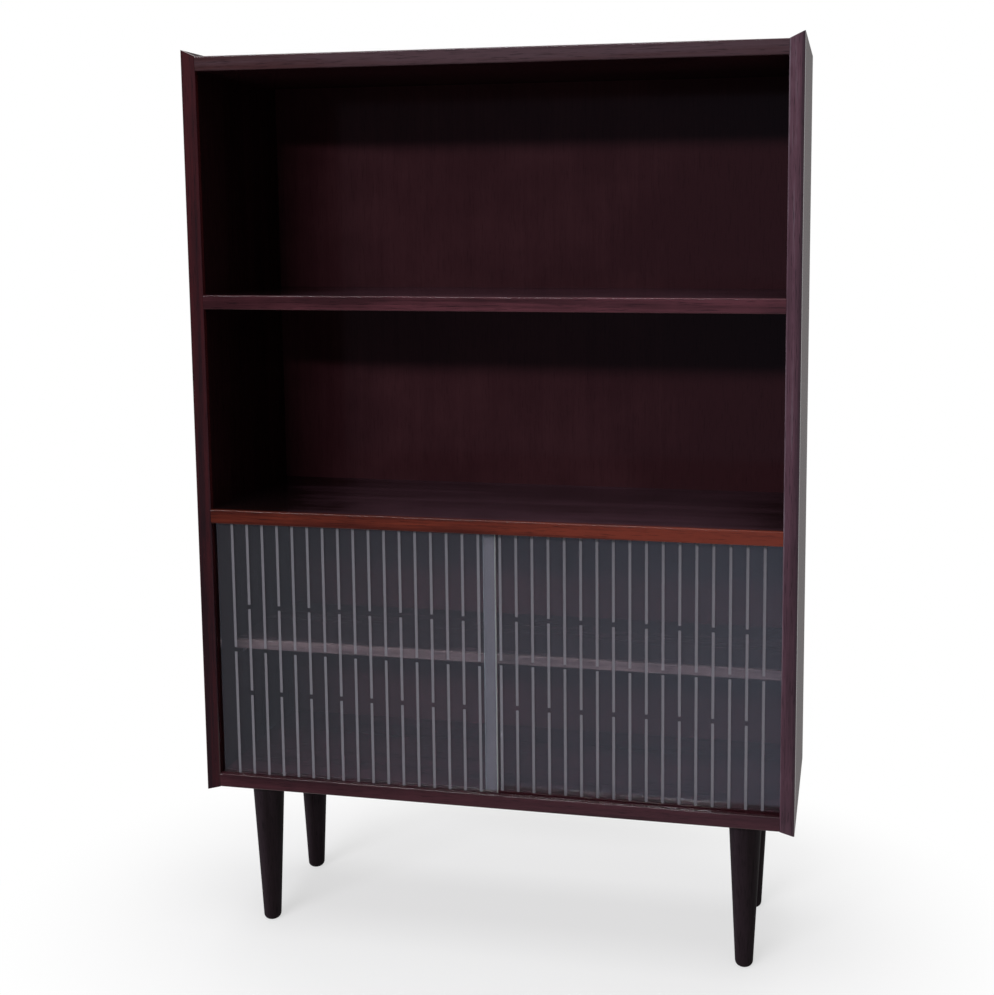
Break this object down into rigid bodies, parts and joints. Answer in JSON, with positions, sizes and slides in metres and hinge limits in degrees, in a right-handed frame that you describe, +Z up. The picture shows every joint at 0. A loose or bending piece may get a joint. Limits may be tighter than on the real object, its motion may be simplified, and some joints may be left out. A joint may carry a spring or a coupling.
{
  "type": "bookcase with glass doors",
  "caption": "Free-standing bookcase on turned legs: open bays over a compartment closed by sliding glass panes with light stripes, with a loose shelf inside.",
  "frame": {"origin": "on the floor, under the middle of the bookcase's bounding box", "axes": "+X to the viewer's right, +Y from the open front to the back, +Z up"},
  "size_m": [0.85, 0.28, 1.28],
  "materials": {
    "stained_wood": "glossy lacquer over dark mahogany stain",
    "red_stained_lipping": "glossy lacquer over redder mahogany",
    "stained_plywood": "satin lacquer over dark stain",
    "stained_beech": "glossy lacquer over near-black brown stain",
    "bare_beech": "plain turned beech",
    "steel": "plain zinc-plated",
    "brass": "plain machined",
    "glass": "clear float glass with matt ground stripes"
  },
  "bodies": {
    "case": {"base_board": "stained_wood", "base_board_lipping": "stained_wood", "shelf_lower": "stained_wood", "shelf_lower_lipping": "red_stained_lipping", "shelf_upper": "stained_wood", "shelf_upper_lipping": "stained_wood", "top_board": "stained_wood", "top_board_lipping": "stained_wood", "side_left": "stained_wood", "side_right": "stained_wood", "side_left_lipping": "stained_wood", "side_right_lipping": "stained_wood", "base_board_dowels": "bare_beech", "shelf_lower_dowels": "bare_beech", "shelf_upper_dowels": "bare_beech", "top_board_dowels": "bare_beech", "back_panel": "stained_plywood", "back_panel_pins": "steel", "inner_shelf": "stained_wood", "inner_shelf_lipping": "stained_wood", "shelf_supports": "steel", "leg_front_left": "stained_beech", "leg_front_right": "stained_beech", "leg_rear_left": "stained_beech", "leg_rear_right": "stained_beech", "leg_inserts": "brass", "leg_bolts": "steel"},
    "left_door": {"glass_left": "glass"},
    "right_door": {"glass_right": "glass"}
  },
  "joints": [
    {"name": "left_door_slide", "type": "slide", "parent": "case", "child": "left_door", "axis": [1, 0, 0], "range_m": [-0.003, 0.3935]},
    {"name": "right_door_slide", "type": "slide", "parent": "case", "child": "right_door", "axis": [-1, 0, 0], "range_m": [0, 0.3965]}
  ]
}
